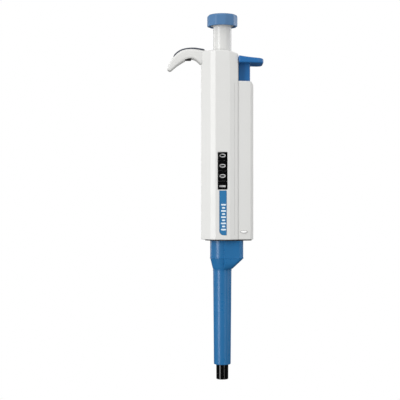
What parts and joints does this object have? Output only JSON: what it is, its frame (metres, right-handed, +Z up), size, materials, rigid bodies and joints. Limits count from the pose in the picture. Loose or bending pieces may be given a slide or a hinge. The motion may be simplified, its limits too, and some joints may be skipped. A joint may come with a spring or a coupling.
{
  "type": "adjustable micropipette",
  "caption": "Hand-held adjustable pipette with a press knob that sets the volume, a finger hook, a sliding tip ejector and a tapered nose for a disposable tip.",
  "frame": {"origin": "centre of the flat rest face under the finger hook, where a stand carries the pipette", "axes": "+Z up along the pipette from the nose to the knob, -Y to the front with the volume window, +X towards the tip ejector"},
  "size_m": [0.0626, 0.024, 0.2383],
  "materials": {
    "white_shell": "satin",
    "white_part": "matte",
    "lens": "clear",
    "black_part": "matte",
    "label": "gloss",
    "slate_strip": "satin",
    "rubber_part": "matte",
    "grey_part": "matte",
    "brass_part": "satin",
    "steel_part": "satin",
    "tip_cone": "gloss",
    "knob": "satin",
    "dial_sleeve": "satin",
    "ejector_blue": "satin",
    "counter_wheel": "satin"
  },
  "bodies": {
    "handle": {"front_shell": "white_shell", "back_shell": "white_shell", "channel_cover": "white_shell", "cover_latch": "white_part", "window_lens": "lens", "window_mask": "black_part", "label_plate": "label", "finger_hook": "white_shell", "hook_strip": "slate_strip", "hook_rest_pad": "rubber_part", "top_bush": "grey_part", "screw_nut": "brass_part", "counter_frame": "white_part", "counter_tube": "grey_part", "lower_bulkhead": "white_part", "cylinder_nut": "grey_part", "rod_guide": "white_part", "shell_screw_1": "steel_part", "shell_screw_2": "steel_part", "shell_screw_3": "steel_part", "cylinder": "steel_part", "tip_cone": "tip_cone", "main_spring": "steel_part", "blowout_spring": "steel_part", "ejector_spring": "steel_part"},
    "plunger": {"operating_rod": "steel_part", "spring_seat": "grey_part", "stop_collar": "steel_part", "piston_coupling": "brass_part", "piston": "steel_part", "piston_o_ring": "rubber_part"},
    "knob": {"push_button": "knob", "button_cap": "knob", "dial_sleeve": "dial_sleeve"},
    "stop_carriage": {"stop_ring": "steel_part"},
    "adjuster": {"adjusting_screw": "brass_part"},
    "wheel_thousands": {"wheel_thousands": "counter_wheel"},
    "wheel_hundreds": {"wheel_hundreds": "counter_wheel"},
    "wheel_tens": {"wheel_tens": "counter_wheel"},
    "wheel_units": {"wheel_units": "counter_wheel"},
    "blowout_stop": {"blowout_plate": "steel_part"},
    "ejector": {"ejector_button": "ejector_blue", "ejector_rod": "steel_part", "rod_clip": "steel_part", "ejector_sleeve": "ejector_blue"}
  },
  "joints": [
    {"name": "plunger_press", "type": "slide", "parent": "handle", "child": "plunger", "axis": [0, 0, 1], "range_m": [-0.0152, 0], "stiffness_N_per_m": 350, "springref_m": 0.006, "deforming": ["main_spring"]},
    {"name": "volume_turn", "type": "hinge", "parent": "plunger", "child": "knob", "pos_m": [0.0223, 0, 0.0255], "axis": [0, 0, 1], "range_deg": [-6480, 0]},
    {"name": "stop_travel", "type": "slide", "parent": "handle", "child": "stop_carriage", "axis": [0, 0, 1], "range_m": [-0.0115, 0]},
    {"name": "screw_turn", "type": "hinge", "parent": "stop_carriage", "child": "adjuster", "pos_m": [0.0223, 0, -0.0185], "axis": [0, 0, 1], "range_deg": [-6480, 0]},
    {"name": "thousands_turn", "type": "hinge", "parent": "handle", "child": "wheel_thousands", "pos_m": [0.0223, 0, -0.0825], "axis": [0, 0, 1], "range_deg": [-32.4, 0]},
    {"name": "hundreds_turn", "type": "hinge", "parent": "handle", "child": "wheel_hundreds", "pos_m": [0.0223, 0, -0.0759], "axis": [0, 0, 1], "range_deg": [-324, 0]},
    {"name": "tens_turn", "type": "hinge", "parent": "handle", "child": "wheel_tens", "pos_m": [0.0223, 0, -0.0693], "axis": [0, 0, 1], "range_deg": [-3240, 0]},
    {"name": "units_turn", "type": "hinge", "parent": "handle", "child": "wheel_units", "pos_m": [0.0223, 0, -0.0627], "axis": [0, 0, 1], "range_deg": [-6480, 0]},
    {"name": "blowout_travel", "type": "slide", "parent": "handle", "child": "blowout_stop", "axis": [0, 0, 1], "range_m": [-0.0025, 0], "stiffness_N_per_m": 1500, "springref_m": 0.002, "deforming": ["blowout_spring"]},
    {"name": "tip_eject", "type": "slide", "parent": "handle", "child": "ejector", "axis": [0, 0, 1], "range_m": [-0.0085, 0], "stiffness_N_per_m": 500, "springref_m": 0.004, "deforming": ["ejector_spring"]}
  ],
  "couplings": [
    {"joint": "stop_travel", "follows": "volume_turn", "m_per_rad": 0.00010106},
    {"joint": "screw_turn", "follows": "volume_turn", "ratio": 1},
    {"joint": "thousands_turn", "follows": "volume_turn", "ratio": 0.005},
    {"joint": "hundreds_turn", "follows": "volume_turn", "ratio": 0.05},
    {"joint": "tens_turn", "follows": "volume_turn", "ratio": 0.5},
    {"joint": "units_turn", "follows": "volume_turn", "ratio": 1}
  ]
}
